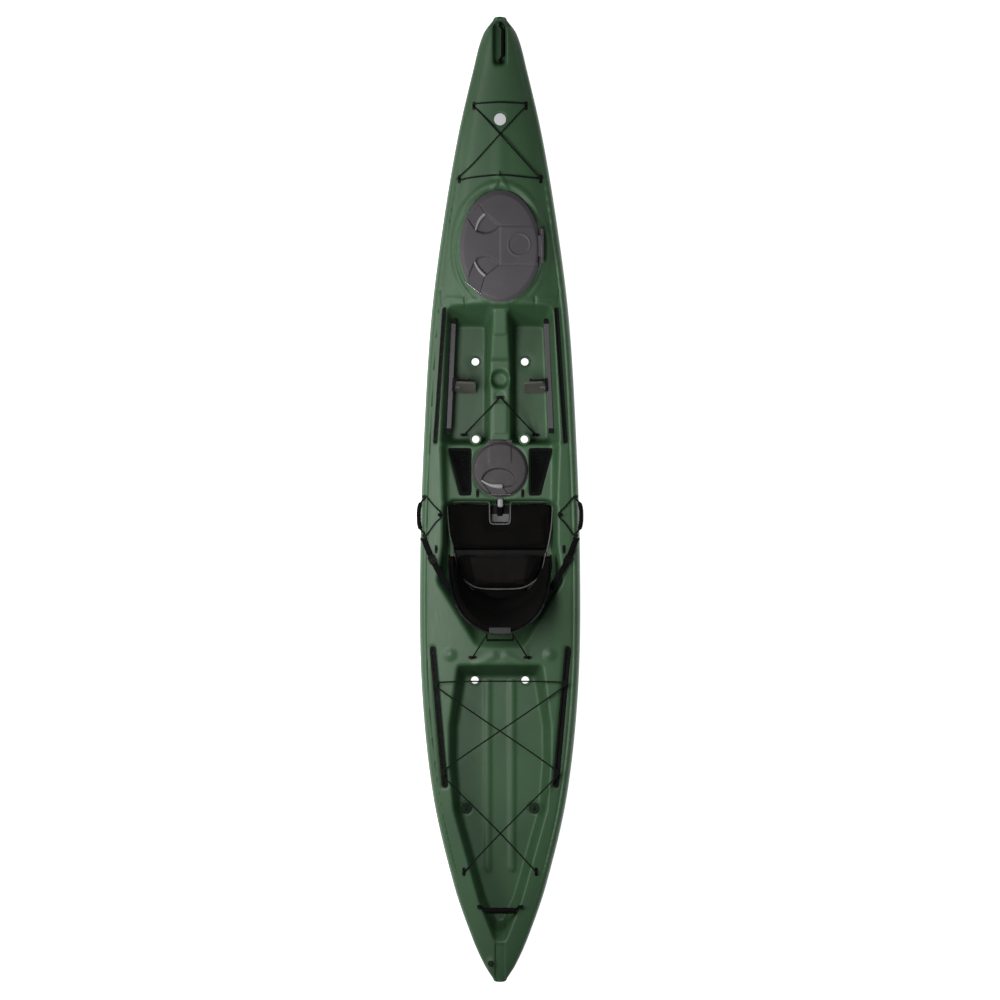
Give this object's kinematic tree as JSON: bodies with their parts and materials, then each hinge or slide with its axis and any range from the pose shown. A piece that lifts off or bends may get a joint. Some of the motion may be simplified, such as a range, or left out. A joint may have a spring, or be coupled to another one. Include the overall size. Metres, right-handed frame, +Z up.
{
  "type": "sit-on-top kayak",
  "caption": "Sit-on-top touring and fishing kayak with padded seat, two hatches, sliding foot braces, accessory rails, rear tankwell and bungee rigging.",
  "frame": {"origin": "middle of the boat's length and beam, on the ground plane that the keel rests on", "axes": "+X towards the bow, +Y to port, +Z up"},
  "size_m": [4.27, 0.738, 0.472],
  "materials": {
    "hull_plastic": "soft satin, rotomoulded polyethylene",
    "hatch_plastic": "moulded, fine grain",
    "latch_plastic": "satin",
    "black_plastic": "satin",
    "black_rubber": "matt",
    "track_plastic": "satin",
    "pedal_plastic": "matt, ribbed",
    "badge_metal": "brushed",
    "dark_steel": "blackened",
    "steel": "brushed",
    "shock_cord": "braided sheath",
    "webbing": "woven",
    "mesh_fabric": "open mesh",
    "seat_fabric": "woven, padded"
  },
  "bodies": {
    "boat": {"hull": "hull_plastic", "bow_badge": "badge_metal", "scupper_plugs": "black_rubber", "padeyes": "black_plastic", "keeper_posts": "black_plastic", "rail_sliders": "black_plastic", "padeye_screws": "dark_steel", "rail_screws": "steel", "rails_front": "black_plastic", "rails_rear": "black_plastic", "drain_plug_seat": "black_plastic", "bow_hatch_rim": "hatch_plastic", "bow_hatch_gasket": "black_rubber", "bow_hatch_hinge_pin": "steel", "mid_hatch_rim": "hatch_plastic", "mid_hatch_gasket": "black_rubber", "mid_hatch_hinge_pin": "steel", "bungee_bow": "shock_cord", "bungee_cockpit": "shock_cord", "bungee_tankwell": "shock_cord", "bungee_backs": "shock_cord", "bungee_keepers": "shock_cord", "seat_strap_left": "webbing", "seat_strap_right": "webbing", "thigh_strap": "webbing", "strap_buckles": "black_plastic", "mesh_pockets": "mesh_fabric", "mesh_pocket_rims": "black_rubber", "seat_pan": "black_plastic", "seat_cushion": "seat_fabric", "seat_recline_pins": "steel", "handle_anchors": "black_plastic", "foot_track_left": "track_plastic", "foot_track_right": "track_plastic"},
    "bow_handle": {"bow_handle_grip": "black_rubber", "bow_handle_strap": "webbing"},
    "side_handle_left": {"side_handle_grip_left": "black_rubber", "side_handle_strap_left": "webbing"},
    "side_handle_right": {"side_handle_grip_right": "black_rubber", "side_handle_strap_right": "webbing"},
    "stern_handle": {"stern_handle_grip": "black_rubber", "stern_handle_strap": "webbing"},
    "bow_hatch": {"bow_hatch_lid": "hatch_plastic", "bow_hatch_latch_pins": "steel"},
    "bow_latch_front": {"bow_hatch_latch_front": "latch_plastic"},
    "bow_latch_rear": {"bow_hatch_latch_rear": "latch_plastic"},
    "mid_hatch": {"mid_hatch_lid": "hatch_plastic", "mid_hatch_latch_pin": "steel"},
    "mid_latch": {"mid_hatch_latch": "latch_plastic"},
    "foot_brace_left": {"foot_carriage_left": "black_plastic", "foot_pedal_left": "pedal_plastic"},
    "foot_brace_right": {"foot_carriage_right": "black_plastic", "foot_pedal_right": "pedal_plastic"},
    "foot_release_left": {"foot_trigger_left": "black_plastic"},
    "foot_release_right": {"foot_trigger_right": "black_plastic"},
    "backrest": {"seat_back_pad": "seat_fabric", "seat_back_shell": "black_plastic", "seat_back_loop": "webbing"},
    "thigh_pad": {"thigh_support": "seat_fabric"},
    "drain_plug": {"drain_plug": "black_plastic"}
  },
  "joints": [
    {"name": "bow_handle_swing", "type": "hinge", "parent": "boat", "child": "bow_handle", "pos_m": [2.02, 0, 0.358], "axis": [-1, 0, 0], "range_deg": [0, 100]},
    {"name": "side_handle_swing_left", "type": "hinge", "parent": "boat", "child": "side_handle_left", "pos_m": [-0.071, 0.337, 0.259], "axis": [1, 0, 0], "range_deg": [0, 110]},
    {"name": "side_handle_swing_right", "type": "hinge", "parent": "boat", "child": "side_handle_right", "pos_m": [-0.071, -0.337, 0.259], "axis": [-1, 0, 0], "range_deg": [0, 110]},
    {"name": "stern_handle_swing", "type": "hinge", "parent": "boat", "child": "stern_handle", "pos_m": [-1.8, 0, 0.284], "axis": [0, 1, 0], "range_deg": [0, 95]},
    {"name": "bow_hatch_open", "type": "hinge", "parent": "boat", "child": "bow_hatch", "pos_m": [1.123, -0.186, 0.348], "axis": [1, 0, 0], "range_deg": [0, 105]},
    {"name": "bow_latch_front_lift", "type": "hinge", "parent": "bow_hatch", "child": "bow_latch_front", "pos_m": [1.2785, 0.11932, 0.349], "axis": [-0.6088, 0.7934, 0], "range_deg": [0, 75]},
    {"name": "bow_latch_rear_lift", "type": "hinge", "parent": "bow_hatch", "child": "bow_latch_rear", "pos_m": [0.9375, 0.11932, 0.349], "axis": [-0.6088, -0.7934, 0], "range_deg": [0, 75]},
    {"name": "mid_hatch_open", "type": "hinge", "parent": "boat", "child": "mid_hatch", "pos_m": [0.261, 0, 0.208], "axis": [0, 1, 0], "range_deg": [0, 105]},
    {"name": "mid_latch_lift", "type": "hinge", "parent": "mid_hatch", "child": "mid_latch", "pos_m": [0.024, 0, 0.209], "axis": [0, -1, 0], "range_deg": [0, 75]},
    {"name": "foot_brace_slide_left", "type": "slide", "parent": "boat", "child": "foot_brace_left", "axis": [0.9991, -0.0431, 0], "range_m": [-0.12, 0.22]},
    {"name": "foot_release_pull_left", "type": "hinge", "parent": "foot_brace_left", "child": "foot_release_left", "pos_m": [0.53294, 0.19271, 0.178], "axis": [0, 0, -1], "range_deg": [0, 10], "stiffness_Nm_per_rad": 0.4, "springref_deg": -2.86},
    {"name": "foot_brace_slide_right", "type": "slide", "parent": "boat", "child": "foot_brace_right", "axis": [0.9991, 0.0431, 0], "range_m": [-0.12, 0.22]},
    {"name": "foot_release_pull_right", "type": "hinge", "parent": "foot_brace_right", "child": "foot_release_right", "pos_m": [0.53294, -0.19271, 0.178], "axis": [0, 0, 1], "range_deg": [0, 10], "stiffness_Nm_per_rad": 0.4, "springref_deg": -2.86},
    {"name": "backrest_recline", "type": "hinge", "parent": "boat", "child": "backrest", "pos_m": [-0.434, 0, 0.121], "axis": [0, -1, 0], "range_deg": [-8, 16], "deforming": ["seat_strap_left", "seat_strap_right", "bungee_backs"]},
    {"name": "thigh_pad_lift", "type": "hinge", "parent": "boat", "child": "thigh_pad", "pos_m": [-0.232, 0, 0.114], "axis": [0, -1, 0], "range_deg": [0, 18]},
    {"name": "drain_plug_turn", "type": "hinge", "parent": "boat", "child": "drain_plug", "pos_m": [-2.052, 0.038, 0.27], "axis": [0, 0, 1], "continuous": true}
  ]
}
